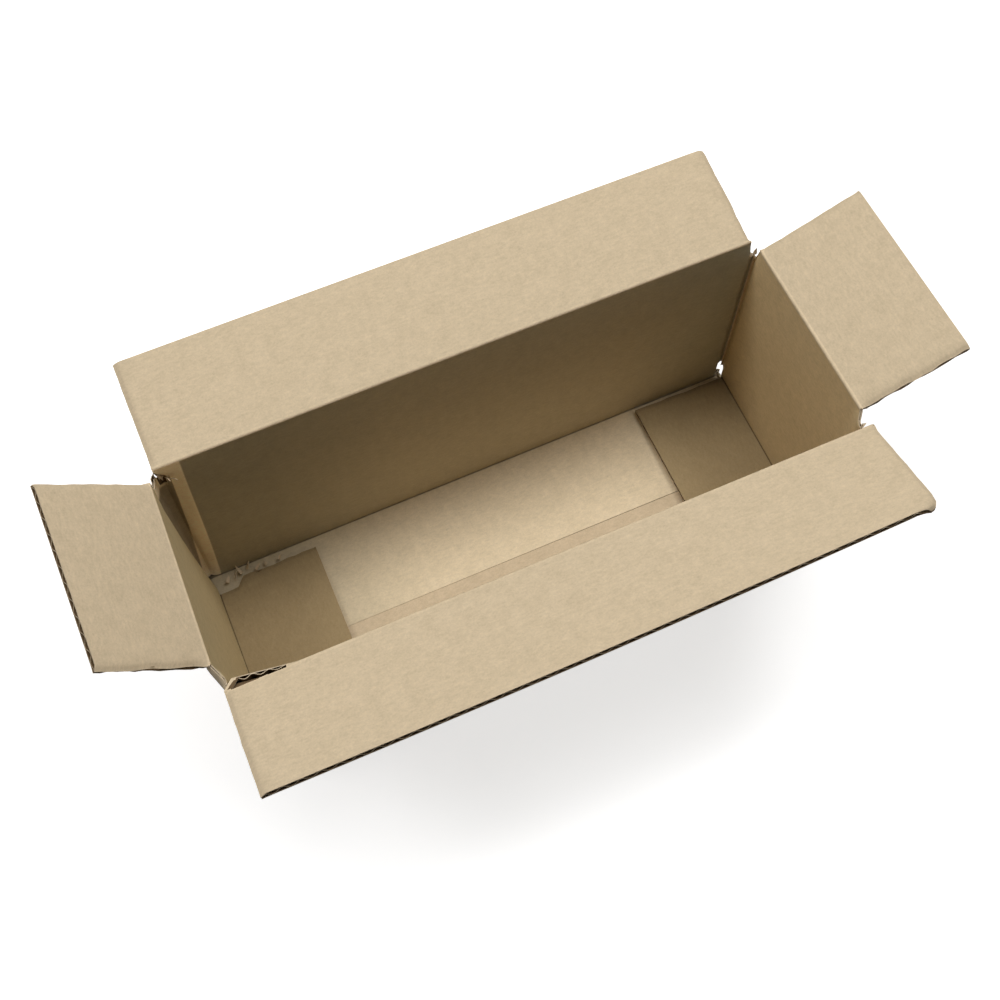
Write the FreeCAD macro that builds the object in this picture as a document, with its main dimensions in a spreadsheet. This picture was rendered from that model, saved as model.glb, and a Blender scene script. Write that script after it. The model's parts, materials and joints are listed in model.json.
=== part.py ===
import FreeCAD, Part
import os
import re
import Sketcher

# A long, narrow slotted box of corrugated board, open at the top, in millimetres.
# +X runs along the box, +Y to the back wall, +Z up. The origin is the centre of the underside.
# The walls, the glue tab and the bottom flaps are one folded sheet.
# Each top flap is a slab of the same sheet that turns about its crease.

# Driving sizes: millimetres, and degrees for the opening angles
SIZES = {
    # the box between its walls, and the height of the long flaps' hinge line above the underside
    "inner_length": 305.0,
    "inner_width": 107.0,
    "crease_height": 134.0,
    "corner_radius": 3.0,
    "fold_radius": 2.2,
    "foot_bevel": 1.5,
    # the board: two liners with a wave between them
    "board_thickness": 3.0,
    "liner_thickness": 0.4,
    "wave_thickness": 0.4,
    "flute_pitch": 7.8,
    "cell_base": 6.2,
    "cell_crest": 1.6,
    "flute_margin": 1.5,
    # the top flaps, from hinge line to free edge, and how far each has been opened from upright
    "flap_reach": 54.0,
    "back_opening": 84.0,
    "front_opening": 71.5,
    "left_opening": 45.7,
    "right_opening": 70.0,
    # the slots between the top flaps: how far each flap's end stands in from the walls beside it
    "back_slot_left": 2.6,
    "back_slot_right": 2.7,
    "front_slot_left": 3.0,
    "front_slot_right": 1.1,
    "left_slot_back": 4.2,
    "left_slot_front": 13.7,
    "right_slot_back": 2.0,
    "right_slot_front": 8.0,
    "post_slot": 0.5,
    # clearances of the folds
    "hinge_clearance": 0.2,
    "miter_clearance": 0.2,
    "stack_clearance": 0.3,
    "layer_clearance": 0.2,
    # the bottom flaps
    "seam_gap": 1.0,
    "long_flap_setback": 1.0,
    "short_flap_reach": 54.5,
    "short_flap_side_gap": 3.0,
    "torn_side_gap": 6.0,
    # the glued corner: the left wall stops short of the back wall, and the tab bridges the gap outside
    "joint_gap": 4.0,
    "tab_width": 28.0,
    "tab_thickness": 1.2,
    "tab_drop": 4.0,
    # the strip of tape under the seam
    "tape_width": 48.0,
    "tape_thickness": 0.1,
    "tape_wrap": 45.0,
}

# Places that several pieces share, as formulas of the sizes
HALF_LENGTH = "inner_length / 2"
HALF_WIDTH = "inner_width / 2"
OUTER_X = "(inner_length / 2 + board_thickness)"
OUTER_Y = "(inner_width / 2 + board_thickness)"
SHORT_CREASE_HEIGHT = "(crease_height - board_thickness - stack_clearance)"
SHORT_FLAP_BASE = "(board_thickness + layer_clearance)"
CELL_LOW = "liner_thickness"
CELL_HIGH = "(board_thickness - liner_thickness)"

# Directions, and how near an edge must be to a place to count as there
ALONG = FreeCAD.Vector(1, 0, 0)
UP = FreeCAD.Vector(0, 0, 1)
EDGE_TOLERANCE = 0.01

doc = FreeCAD.newDocument("bottle_shipping_box")
sheet = doc.addObject("Spreadsheet::Sheet", "Sizes")
for row, (alias, value) in enumerate(SIZES.items(), start=1):
    sheet.set(f"A{row}", alias)
    sheet.set(f"B{row}", str(value))
    sheet.setAlias(f"B{row}", alias)
doc.recompute()


def bound(formula):
    """The formula with each size written as a cell of the sheet."""
    return re.sub(r"[a-z_]+", lambda word: f"Sizes.{word[0]}" if word[0] in SIZES else word[0], formula)


def number(formula):
    """The formula's value now."""
    return float(sheet.evalExpression(formula))


def new_body(label):
    """An empty body whose label is its node's name."""
    body = doc.addObject("PartDesign::Body", label)
    body.Label = label
    return body


def new_sketch(body, name, plane, polygons, lift=None):
    """A sketch of closed polygons on an origin plane, lifted along the plane's normal."""
    sketch = body.newObject("Sketcher::SketchObject", name)
    origin_plane = [item for item in body.Origin.OriginFeatures if item.Role == plane][0]
    sketch.AttachmentSupport = [(origin_plane, "")]
    sketch.MapMode = "FlatFace"
    if lift:
        sketch.setExpression("AttachmentOffset.Base.z", bound(lift))
    for corners in polygons:
        add_polygon(sketch, corners)
    return sketch


def add_polygon(sketch, corners):
    """Straight edges through the corners, each corner held at its two formulas."""
    points = [FreeCAD.Vector(number(x), number(y), 0) for x, y in corners]
    first = sketch.GeometryCount
    for start, end in zip(points, points[1:] + points[:1]):
        sketch.addGeometry(Part.LineSegment(start, end), False)
    for step, (x, y) in enumerate(corners):
        line = first + step
        following = first + (step + 1) % len(corners)
        sketch.addConstraint(Sketcher.Constraint("Coincident", line, 2, following, 1))
        for kind, formula, value in (("DistanceX", x, points[step].x), ("DistanceY", y, points[step].y)):
            index = sketch.addConstraint(Sketcher.Constraint(kind, -1, 1, line, 1, value))
            sketch.setExpression(f"Constraints[{index}]", bound(formula))


def rectangle(low_x, high_x, low_y, high_y):
    """Four corners from the formulas of the two sides each way."""
    return [(low_x, low_y), (high_x, low_y), (high_x, high_y), (low_x, high_y)]


def flute_cells(centre, base):
    """One wave's two hollows: one below it and, half a pitch on, one above it."""
    half_base = "cell_base / 2"
    half_crest = "cell_crest / 2"
    low = f"{base} + {CELL_LOW}"
    high = f"{base} + {CELL_HIGH}"
    below = [
        (f"{centre} - {half_base}", low),
        (f"{centre} + {half_base}", low),
        (f"{centre} + {half_crest}", f"{high} - wave_thickness"),
        (f"{centre} - {half_crest}", f"{high} - wave_thickness"),
    ]
    above = [
        (f"{centre} + flute_pitch / 2 - {half_crest}", f"{low} + wave_thickness"),
        (f"{centre} + flute_pitch / 2 + {half_crest}", f"{low} + wave_thickness"),
        (f"{centre} + flute_pitch / 2 + {half_base}", high),
        (f"{centre} + flute_pitch / 2 - {half_base}", high),
    ]
    return [below, above]


def pad(body, name, sketch, length, symmetric=False):
    """Material along the sketch's normal, or half each way."""
    feature = body.newObject("PartDesign::Pad", name)
    feature.Profile = sketch
    feature.SideType = "Symmetric" if symmetric else "One side"
    feature.setExpression("Length", bound(length))
    return feature


def cut_through(body, name, sketch):
    """A cut both ways through the whole body."""
    feature = body.newObject("PartDesign::Pocket", name)
    feature.Profile = sketch
    feature.SideType = "Symmetric"
    feature.Type = "ThroughAll"
    return feature


def cut_to(body, name, sketch, length, along_normal):
    """A cut of a stated length, along the sketch's normal or against it."""
    feature = body.newObject("PartDesign::Pocket", name)
    feature.Profile = sketch
    feature.Reversed = along_normal
    feature.setExpression("Length", bound(length))
    return feature


def repeat(body, name, feature, sketch, count):
    """Copies of a feature along the sketch's horizontal axis, one flute pitch apart."""
    pattern = body.newObject("PartDesign::LinearPattern", name)
    pattern.Originals = [feature]
    pattern.Direction = (sketch, ["H_Axis"])
    pattern.Mode = "Spacing"
    pattern.setExpression("Offset", bound("flute_pitch"))
    pattern.setExpression("Occurrences", bound(count))
    body.Tip = pattern
    return pattern


def flute_row(low_end, high_end):
    """How many waves fit between two ends, and where the first one's centre stands."""
    room = f"({high_end} - ({low_end}) - cell_base - flute_pitch / 2 - 2 * flute_margin)"
    count = f"floor({room} / flute_pitch) + 1"
    spare = f"({room} - flute_pitch * floor({room} / flute_pitch)) / 2"
    start = f"{low_end} + flute_margin + cell_base / 2 + {spare}"
    return count, start


def rounded(body, name, base, chosen, radius):
    """A fillet on the base's edges that the rule chooses."""
    doc.recompute()
    names = [f"Edge{i}" for i, edge in enumerate(base.Shape.Edges, start=1) if chosen(edge)]
    feature = body.newObject("PartDesign::Fillet", name)
    feature.Base = (base, names)
    feature.setExpression("Radius", bound(radius))
    return feature


def runs_along(edge, axis):
    """True where both ends of the edge differ along one axis only."""
    ends = [vertex.Point for vertex in edge.Vertexes]
    if len(ends) != 2:
        return False
    step = ends[1] - ends[0]
    return abs(step.dot(axis)) > 0.999 * step.Length


# Walls: a ring in plan, with the tab outside the left wall and a gap where that wall stops short
def add_walls(body):
    tab_x = f"-{OUTER_X} - tab_thickness"
    tab_end = f"{HALF_WIDTH} - tab_width"
    outside = [
        (f"-{OUTER_X}", f"-{OUTER_Y}"),
        (OUTER_X, f"-{OUTER_Y}"),
        (OUTER_X, OUTER_Y),
        (tab_x, OUTER_Y),
        (tab_x, tab_end),
        (f"-{OUTER_X}", tab_end),
    ]
    inside = [
        (f"-{HALF_LENGTH}", f"-{HALF_WIDTH}"),
        (HALF_LENGTH, f"-{HALF_WIDTH}"),
        (HALF_LENGTH, HALF_WIDTH),
        (f"-{OUTER_X}", HALF_WIDTH),
        (f"-{OUTER_X}", f"{HALF_WIDTH} - joint_gap"),
        (f"-{HALF_LENGTH}", f"{HALF_WIDTH} - joint_gap"),
    ]
    plan = new_sketch(body, "WallPlan", "XY_Plane", [outside, inside], SHORT_FLAP_BASE)
    walls = pad(body, "Walls", plan, f"crease_height - {SHORT_FLAP_BASE}")
    reach = f"{OUTER_X} - {EDGE_TOLERANCE}"
    side = f"{OUTER_Y} - {EDGE_TOLERANCE}"

    def corner(edge):
        middle = edge.CenterOfMass
        return runs_along(edge, UP) and abs(middle.x) > number(reach) and abs(middle.y) > number(side)

    rounded(body, "WallCorners", walls, corner, "corner_radius")
    for name, sign, cover in (("Left", "-", "tab_thickness"), ("Right", "", "0")):
        face = f"{sign}({OUTER_X} + {cover})"
        bevel = [
            (face, SHORT_FLAP_BASE),
            (face, f"{SHORT_FLAP_BASE} + foot_bevel + {cover}"),
            (f"{sign}({OUTER_X} - foot_bevel)", SHORT_FLAP_BASE),
        ]
        section = new_sketch(body, f"{name}FootSection", "XZ_Plane", [bevel])
        cut_through(body, f"{name}Foot", section)


# Bottom flaps: the long pair meets at the seam, and the short pair lies on top of it
def add_bottom_flaps(body):
    foot_top = f"{SHORT_FLAP_BASE} + board_thickness"
    for name, sign in (("Front", "-"), ("Back", "")):
        section = [
            (f"{sign}{OUTER_Y}", foot_top),
            (f"{sign}{OUTER_Y}", "0"),
            (f"{sign}seam_gap / 2", "0"),
            (f"{sign}seam_gap / 2", "board_thickness"),
            (f"{sign}{HALF_WIDTH}", "board_thickness"),
            (f"{sign}{HALF_WIDTH}", foot_top),
        ]
        profile = new_sketch(body, f"{name}FlapSection", "YZ_Plane", [section])
        flap = pad(body, f"{name}BottomFlap", profile, f"2 * ({OUTER_X} - long_flap_setback)", symmetric=True)
    for name, sign, back_gap in (("Left", "-", "torn_side_gap"), ("Right", "", "short_flap_side_gap")):
        free_edge = f"{sign}({HALF_LENGTH} - short_flap_reach)"
        wall = f"{sign}({HALF_LENGTH} + board_thickness / 2)"
        outline = rectangle(free_edge, wall, f"-{HALF_WIDTH} + short_flap_side_gap", f"{HALF_WIDTH} - {back_gap}")
        plan = new_sketch(body, f"{name}FlapPlan", "XY_Plane", [outline], SHORT_FLAP_BASE)
        flap = pad(body, f"{name}BottomFlap", plan, "board_thickness")

    def fold(edge):
        middle = edge.CenterOfMass
        return runs_along(edge, ALONG) and middle.z < EDGE_TOLERANCE and abs(middle.y) > number(HALF_WIDTH)

    return rounded(body, "LongFolds", flap, fold, "fold_radius")


# Wall tops: mitred to the hinge lines, with the end walls one board lower
def add_wall_tops(body):
    long_edge = "crease_height - hinge_clearance - miter_clearance"
    short_edge = f"{SHORT_CREASE_HEIGHT} - hinge_clearance - miter_clearance"
    for name, sign in (("Front", "-"), ("Back", "")):
        waste = [
            (f"{sign}{OUTER_Y}", "crease_height + 1"),
            (f"{sign}{OUTER_Y}", long_edge),
            (f"{sign}{HALF_WIDTH}", f"{long_edge} - board_thickness"),
            (f"{sign}{HALF_WIDTH}", "crease_height + 1"),
        ]
        section = new_sketch(body, f"{name}TopSection", "YZ_Plane", [waste])
        cut_through(body, f"{name}WallTop", section)
    for name, sign in (("Left", "-"), ("Right", "")):
        outside = f"{sign}({OUTER_X} + 2 * tab_thickness)"
        post = f"{sign}({HALF_LENGTH} - post_slot)"
        waste = [
            (outside, "crease_height + 1"),
            (outside, short_edge),
            (f"{sign}{OUTER_X}", short_edge),
            (f"{sign}({HALF_LENGTH})", f"{short_edge} - board_thickness"),
            (post, f"{short_edge} - board_thickness"),
            (post, "crease_height + 1"),
        ]
        section = new_sketch(body, f"{name}TopSection", "XZ_Plane", [waste])
        cut_through(body, f"{name}WallTop", section)
    above_tab = rectangle(
        f"-{OUTER_X} - 2 * tab_thickness", f"-{OUTER_X}", f"{SHORT_CREASE_HEIGHT} - tab_drop", "crease_height"
    )
    section = new_sketch(body, "TabTopSection", "XZ_Plane", [above_tab])
    cut_through(body, "TabTop", section)


# Tape bed: the tape has pressed itself flush into the underside
def add_tape_bed(body):
    bed = rectangle(f"-{OUTER_X}", OUTER_X, "-tape_width / 2", "tape_width / 2")
    plan = new_sketch(body, "TapeBedPlan", "XY_Plane", [bed])
    cut_to(body, "TapeBed", plan, "tape_thickness", along_normal=True)


# Flutes of the short bottom flaps, open at their free edges
def add_bottom_flutes(body):
    for name, along_normal, back_gap in (("Left", False, "torn_side_gap"), ("Right", True, "short_flap_side_gap")):
        count, start = flute_row(f"-{HALF_WIDTH} + short_flap_side_gap", f"{HALF_WIDTH} - {back_gap}")
        section = new_sketch(body, f"{name}FluteSection", "YZ_Plane", flute_cells(start, SHORT_FLAP_BASE))
        flute = cut_to(body, f"{name}Flute", section, f"{HALF_LENGTH} - board_thickness", along_normal)
        repeat(body, f"{name}Flutes", flute, section, count)


def make_box_body():
    body = new_body("box_body")
    add_walls(body)
    add_bottom_flaps(body)
    add_wall_tops(body)
    add_tape_bed(body)
    add_bottom_flutes(body)
    return body


# A top flap in its own frame: X along the hinge line, Y from it to the free edge, Z to the inner face
def make_flap(label, low_end, high_end, opening, turn, hinge):
    body = new_body(label)
    root = "hinge_clearance + miter_clearance"
    outline = rectangle(low_end, high_end, root, "flap_reach")
    plan = new_sketch(body, f"{label}_plan", "XY_Plane", [outline], "hinge_clearance")
    pad(body, f"{label}_slab", plan, "board_thickness")
    miter = [
        (root, "hinge_clearance"),
        (root, "hinge_clearance + board_thickness"),
        (f"{root} + board_thickness", "hinge_clearance + board_thickness"),
    ]
    section = new_sketch(body, f"{label}_miter_section", "YZ_Plane", [miter])
    cut_through(body, f"{label}_miter", section)
    count, start = flute_row(low_end, high_end)
    cells = new_sketch(body, f"{label}_flute_section", "XZ_Plane", flute_cells(start, "hinge_clearance"))
    flute = cut_through(body, f"{label}_flute", cells)
    repeat(body, f"{label}_flutes", flute, cells, count)
    place = FreeCAD.Vector(*[number(formula) for formula in hinge])
    body.Placement = FreeCAD.Placement(place, FreeCAD.Rotation(turn, 0, 90 - number(opening)))
    return body


def make_flaps():
    long_hinge = f"{OUTER_Y} + hinge_clearance"
    short_hinge = f"{OUTER_X} + hinge_clearance"
    return [
        make_flap(
            "back_flap",
            f"-{HALF_LENGTH} + back_slot_left",
            f"{HALF_LENGTH} - back_slot_right",
            "back_opening",
            0,
            ("0", long_hinge, "crease_height"),
        ),
        make_flap(
            "front_flap",
            f"-{HALF_LENGTH} + front_slot_right",
            f"{HALF_LENGTH} - front_slot_left",
            "front_opening",
            180,
            ("0", f"-({long_hinge})", "crease_height"),
        ),
        make_flap(
            "left_flap",
            f"-{HALF_WIDTH} + left_slot_front",
            f"{HALF_WIDTH} - left_slot_back",
            "left_opening",
            90,
            (f"-({short_hinge})", "0", SHORT_CREASE_HEIGHT),
        ),
        make_flap(
            "right_flap",
            f"-{HALF_WIDTH} + right_slot_back",
            f"{HALF_WIDTH} - right_slot_front",
            "right_opening",
            -90,
            (short_hinge, "0", SHORT_CREASE_HEIGHT),
        ),
    ]


# The tape runs under the seam and up both end walls
def make_tape():
    body = new_body("bottom_tape")
    face = f"({OUTER_X} + tape_thickness)"
    section = [
        (f"-{face}", "tape_wrap"),
        (f"-{face}", "0"),
        (face, "0"),
        (face, "tape_wrap"),
        (OUTER_X, "tape_wrap"),
        (OUTER_X, "tape_thickness"),
        (f"-{OUTER_X}", "tape_thickness"),
        (f"-{OUTER_X}", "tape_wrap"),
    ]
    profile = new_sketch(body, "tape_section", "XZ_Plane", [section])
    pad(body, "tape_strip", profile, "tape_width", symmetric=True)
    return body


def check(pieces):
    """Stops where a feature failed, a cut removed nothing or a piece isn't one valid solid."""
    for item in doc.Objects:
        if {"Invalid", "Error"} & set(item.State):
            raise RuntimeError(f"{item.Name}: {item.State}")
        if item.TypeId in ("PartDesign::Pocket", "PartDesign::LinearPattern"):
            if item.Shape.Volume >= item.BaseFeature.Shape.Volume:
                raise RuntimeError(f"{item.Name} removes nothing")
    for piece in pieces:
        if piece.Shape.isNull() or not piece.Shape.isValid() or len(piece.Shape.Solids) != 1:
            raise RuntimeError(f"{piece.Label} isn't one valid solid")


pieces = [make_box_body(), *make_flaps(), make_tape()]
doc.recompute()
check(pieces)
os.makedirs("parts", exist_ok=True)
for piece in pieces:
    piece.Shape.exportStep(f"parts/{piece.Label}.step")
    box = piece.Shape.BoundBox
    print(piece.Label, f"{piece.Shape.Volume:.0f} mm3, {len(piece.Shape.Faces)} faces,",
          f"x {box.XMin:.1f}..{box.XMax:.1f}, y {box.YMin:.1f}..{box.YMax:.1f}, z {box.ZMin:.1f}..{box.ZMax:.1f}")
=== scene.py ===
# %% [markdown]
# # Bottle shipping box
# One long, narrow box of corrugated board, open at the top. The frame holds its plain solids, one per
# moving part. Here each solid is dressed with real board: two thin liners with a wave between them,
# folded from flat grids the way a maker folds a blank.

# %% Load the frame
import json
import math

import bmesh
import bpy
from mathutils import Matrix, Vector, noise


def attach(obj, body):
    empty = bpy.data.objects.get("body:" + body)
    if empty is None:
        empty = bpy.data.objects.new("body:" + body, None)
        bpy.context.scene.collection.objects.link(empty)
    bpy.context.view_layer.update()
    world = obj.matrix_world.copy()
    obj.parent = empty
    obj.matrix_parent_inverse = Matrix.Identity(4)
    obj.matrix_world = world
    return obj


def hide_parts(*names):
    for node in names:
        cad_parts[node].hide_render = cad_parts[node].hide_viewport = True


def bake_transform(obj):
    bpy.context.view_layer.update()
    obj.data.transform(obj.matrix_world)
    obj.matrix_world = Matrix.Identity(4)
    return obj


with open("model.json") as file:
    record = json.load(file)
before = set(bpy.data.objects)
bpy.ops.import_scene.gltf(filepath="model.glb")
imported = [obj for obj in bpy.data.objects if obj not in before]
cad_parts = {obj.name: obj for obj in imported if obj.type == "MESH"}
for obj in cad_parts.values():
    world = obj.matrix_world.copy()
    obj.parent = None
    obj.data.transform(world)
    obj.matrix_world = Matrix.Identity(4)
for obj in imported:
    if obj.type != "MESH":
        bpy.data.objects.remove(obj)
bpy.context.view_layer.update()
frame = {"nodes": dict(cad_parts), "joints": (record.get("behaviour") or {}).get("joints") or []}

# %% [markdown]
# ## Camera and light
# The camera stands in front of the box, a little to its left and high up, and looks down into it.
# A camera can be turned by angles, or its three axes can be given as the columns of a matrix. The
# matrix is used here, because it holds the small roll of a hand-held picture exactly.

# %% Camera
MM = 0.001
SENSOR = 36.0
LENS_PER_SENSOR = 1.3183
LENS_SHIFT = (-0.0420, -0.0104)
CAMERA_PLACE = Vector((-94.59, -240.94, 667.74)) * MM
CAMERA_RIGHT = Vector((0.91378, -0.40618, 0.00475)).normalized()
CAMERA_FORWARD = Vector((0.17021, 0.37225, -0.91239)).normalized()


def add_object(name, data):
    """A new object in the scene that shows the given data."""
    added = bpy.data.objects.new(name, data)
    bpy.context.scene.collection.objects.link(added)
    return added


camera_data = bpy.data.cameras.new("camera")
camera_data.sensor_width = SENSOR
camera_data.lens = SENSOR * LENS_PER_SENSOR
camera_data.shift_x, camera_data.shift_y = LENS_SHIFT
camera = add_object("camera", camera_data)
camera_up = CAMERA_RIGHT.cross(CAMERA_FORWARD)
camera_turn = Matrix((CAMERA_RIGHT, camera_up, -CAMERA_FORWARD)).transposed().to_4x4()
camera.matrix_world = Matrix.Translation(CAMERA_PLACE) @ camera_turn
bpy.context.scene.camera = camera
bpy.context.scene.view_settings.view_transform = "Standard"
print("lens", round(camera_data.lens, 2))

# %% [markdown]
# Three soft lamps high above the box, a little behind it, make the open flaps and the floor of the
# box bright and leave the wall that faces the camera in shade. The world adds a trace of light from
# everywhere, as white studio walls do.

# %% Light
LAMP_TARGET = Vector((0.0, 0.0, 0.05))
LAMPS = {
    "high_lamp": ((0.12, 0.2, 1.6), (1.6, 0.4), 13.0),
    "left_lamp": ((-0.75, 0.3, 1.45), (0.45, 0.45), 5.7),
    "right_lamp": ((0.75, 0.3, 1.45), (0.45, 0.45), 6.5),
}
WORLD_STRENGTH = 0.02
WHITE = (1, 1, 1, 1)

for lamp_name, (lamp_place, lamp_size, lamp_power) in LAMPS.items():
    lamp = bpy.data.lights.new(lamp_name, "AREA")
    lamp.shape = "RECTANGLE"
    lamp.size, lamp.size_y = lamp_size
    lamp.energy = lamp_power
    facing = (LAMP_TARGET - Vector(lamp_place)).to_track_quat("-Z", "Y").to_matrix().to_4x4()
    add_object(lamp_name, lamp).matrix_world = Matrix.Translation(lamp_place) @ facing
world = bpy.data.worlds.new("studio")
bpy.context.scene.world = world
world.use_nodes = True
world_light = world.node_tree.nodes["Background"].inputs
world_light["Color"].default_value = WHITE
world_light["Strength"].default_value = WORLD_STRENGTH
print("lamps", len(LAMPS))

# %% [markdown]
# ## Sizes of the board
# All lengths below are millimetres, because board is bought and cut in millimetres. A single factor
# turns them into metres when a mesh is finished. LINER and MEDIUM are the thicknesses of the flat
# papers and of the waved one, and PITCH is the length of one wave. The short sides sit one board and
# a clearance higher than the long ones, so that the long flaps can close over them.

# %% Board and box sizes
BOARD = 3.0
LINER = 0.36
MEDIUM = 0.26
PITCH = 7.8
CLEARANCE = 0.2
LIFT = BOARD + CLEARANCE
HALF_LENGTH = 152.5
HALF_WIDTH = 53.5
FLAP_REACH = 54.0
FOOT_RADIUS = 1.2
FOLD_RADIUS = 1.3
TAB_WIDTH = 28.0


def joint_place(name):
    """Where a crease's hinge line passes, in millimetres."""
    return Vector(next(joint for joint in frame["joints"] if joint["name"] == name)["pos_m"]) / MM


LONG_CREASE = joint_place("back_crease").z
SHORT_CREASE = joint_place("right_crease").z
print("creases at", round(LONG_CREASE, 2), round(SHORT_CREASE, 2))

# %% [markdown]
# ## The four sides
# Each side of the box is one strip of board: a bottom flap, a wall and a top flap. A strip has a
# direction along its creases and a direction outwards. Most values are given twice, for the strip's
# low end and its high end, because a box that was folded by hand is slightly twisted everywhere.
#
# - opening: the top flap's lean from upright, in degrees
# - crease_at, reach_at: how far along the flap from its hinge its crease and its free edge lie
# - slots, tapers: how far a top flap's ends are cut in at its crease, and how much more at its edge
# - bottom, free_edge, raised: the bottom flap's ends, its free edge, and how far that edge stands up
# - flap_shift, corner_shift, foot_shift: how far the flap, the corner and the foot lean, in X and Y

# %% Sides
SIDES = {
    "back": dict(
        along=Vector((1, 0, 0)), out=Vector((0, 1, 0)), half=HALF_LENGTH, reach=HALF_WIDTH,
        crease=LONG_CREASE, base=0.0, opening=(85.1, 82.9), crease_at=(-2.9, -0.5),
        reach_at=(53.6, 54.6), slots=(2.3, 1.8), tapers=(-0.3, -0.9),
        bottom=(-154.5, 154.5), free_edge=(-0.57, -0.57), raised=(0.0, 0.0),
        flap_shift=((0.0, 0.5), (-0.5, -1.5)), corner_shift=((4.2, 0.5), (-0.5, -1.5)),
        foot_shift=((-1.2, 0.9), (-0.9, 2.3))),
    "front": dict(
        along=Vector((1, 0, 0)), out=Vector((0, -1, 0)), half=HALF_LENGTH, reach=HALF_WIDTH,
        crease=LONG_CREASE, base=0.0, opening=(72.5, 71.1), crease_at=(-0.8, -0.8),
        reach_at=(52.6, 52.6), slots=(2.0, -0.5), tapers=(1.3, 0.4),
        bottom=(-154.5, 154.5), free_edge=(0.64, 0.95), raised=(0.0, 0.0),
        flap_shift=((-2.2, 0.6), (2.1, 0.2)), corner_shift=((2.0, 3.3), (-1.0, 0.3)),
        foot_shift=((0.5, 0.0), (-0.9, 0.0))),
    "left": dict(
        along=Vector((0, 1, 0)), out=Vector((-1, 0, 0)), half=HALF_WIDTH, reach=HALF_LENGTH,
        crease=SHORT_CREASE, base=LIFT, opening=(44.15, 47.85), crease_at=(-1.3, -0.8),
        reach_at=(51.9, 53.5), slots=(13.3, 2.9), tapers=(1.6, 0.0),
        bottom=(-50.5, 47.5), free_edge=(97.0, 97.0), raised=(4.5, 1.0),
        flap_shift=((-2.2, 0.6), (0.0, 0.5)), corner_shift=((2.0, 3.3), (0.0, 0.5)),
        foot_shift=((0.5, 0.0), (0.5, 0.0))),
    "right": dict(
        along=Vector((0, 1, 0)), out=Vector((1, 0, 0)), half=HALF_WIDTH, reach=HALF_LENGTH,
        crease=SHORT_CREASE, base=LIFT, opening=(71.08, 71.32), crease_at=(-1.9, -1.2),
        reach_at=(54.0, 53.4), slots=(8.6, 1.4), tapers=(1.1, -2.3),
        bottom=(-50.5, 50.5), free_edge=(97.7, 97.7), raised=(4.5, 1.5),
        flap_shift=((2.1, 0.2), (-0.5, -1.5)), corner_shift=((-1.0, 0.3), (-0.5, -1.5)),
        foot_shift=((-0.9, 0.0), (-0.9, 2.2))),
}
print("sides", *SIDES)

# %% [markdown]
# ## Folding a blank
# A strip could be modelled as three boxes, but then its creases would be sharp and empty. Instead a
# flat grid is laid on a path: along the bottom flap, round the foot, up the wall, round the crease
# and out along the top flap. The rows of the grid stand close together near a fold or a free edge,
# where the board bends, and far apart on the flat. The wave needs fewer rows than the liners.

# %% Rows of the strip
NEAR_FOLD = (0.0, 0.35, 0.8, 1.4, 2.2, 3.4)
NEAR_EDGE = (0.0, 0.5, 1.5, 3.0)
WAVE_NEAR_FOLD = (0.0, 0.8, 2.2)
WAVE_NEAR_EDGE = (0.0, 3.0)
BOTTOM_LENGTH = 54.0
WALL_LENGTH = 130.0
WALL_STEP = 1.6


def spaced(length, step, first, last):
    """Shares from 0 to 1 across a length, with the given distances kept at its two ends."""
    room = length - first[-1] - last[-1]
    count = max(2, round(room / step))
    middle = [first[-1] + room * place / count for place in range(1, count)]
    return [place / length for place in (*first, *middle, *[length - place for place in reversed(last)])]


def along_strip(step, fold_rows, near_fold, near_edge):
    """The rows of a whole strip: the name of each row's segment and its share of that segment."""
    bend = [place / fold_rows for place in range(1, fold_rows)]
    shares = {
        "bottom": spaced(BOTTOM_LENGTH, step, near_edge, near_fold),
        "foot": bend,
        "wall": spaced(WALL_LENGTH, step * WALL_STEP, near_fold, near_fold),
        "fold": bend,
        "flap": spaced(FLAP_REACH, step, near_fold, near_edge),
    }
    return [(segment, share) for segment, row_shares in shares.items() for share in row_shares]


LINER_ROWS = along_strip(4.0, 6, NEAR_FOLD, NEAR_EDGE)
WAVE_ROWS = along_strip(9.0, 4, WAVE_NEAR_FOLD, WAVE_NEAR_EDGE)
print("rows", len(LINER_ROWS), len(WAVE_ROWS))

# %% [markdown]
# A few small functions blend values. Every shape below is built from them: mix goes from one number
# to another, smooth makes a soft step, and pinch thins the board where a line was pressed into it.
# The crease is the place where the inner faces of wall and flap would meet if the fold were sharp.

# %% Blends and the crease
def mix(low, high, share):
    return low + (high - low) * share


def within(value, low=0.0, high=1.0):
    return min(max(value, low), high)


def smooth(value):
    """An S-shaped step from 0 to 1."""
    value = within(value)
    return value * value * (3 - 2 * value)


def pinch(depth, distance, width):
    """The share of the board's thickness that is kept at a distance from the middle of a pressed line."""
    return 1.0 - depth * math.exp(-(distance / width) ** 2)


def crease_line(side, share):
    """The top flap's lean from upright, and how far out and up the inner faces of wall and flap meet."""
    lean = math.radians(mix(*side["opening"], share))
    along_flap = mix(*side["crease_at"], share)
    out = side["reach"] + LIFT * (1 - math.cos(lean)) + along_flap * math.sin(lean)
    return lean, out, side["crease"] + LIFT * math.sin(lean) + along_flap * math.cos(lean)


def wall_top(side, share):
    """How high the straight part of the wall ends."""
    lean, _, crease_up = crease_line(side, share)
    return crease_up - FOLD_RADIUS * math.tan(lean / 2)


for name, side in SIDES.items():
    print(name, "wall ends at", round(wall_top(side, 0.0), 2), round(wall_top(side, 1.0), 2))

# %% [markdown]
# The lower half of the path follows the board's outer face, which folds round the outside of the
# foot. The upper half follows its inner face, which is pulled tight over the crease where the flap
# folds outwards. A depth through the board then gives the liners and the wave.

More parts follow.
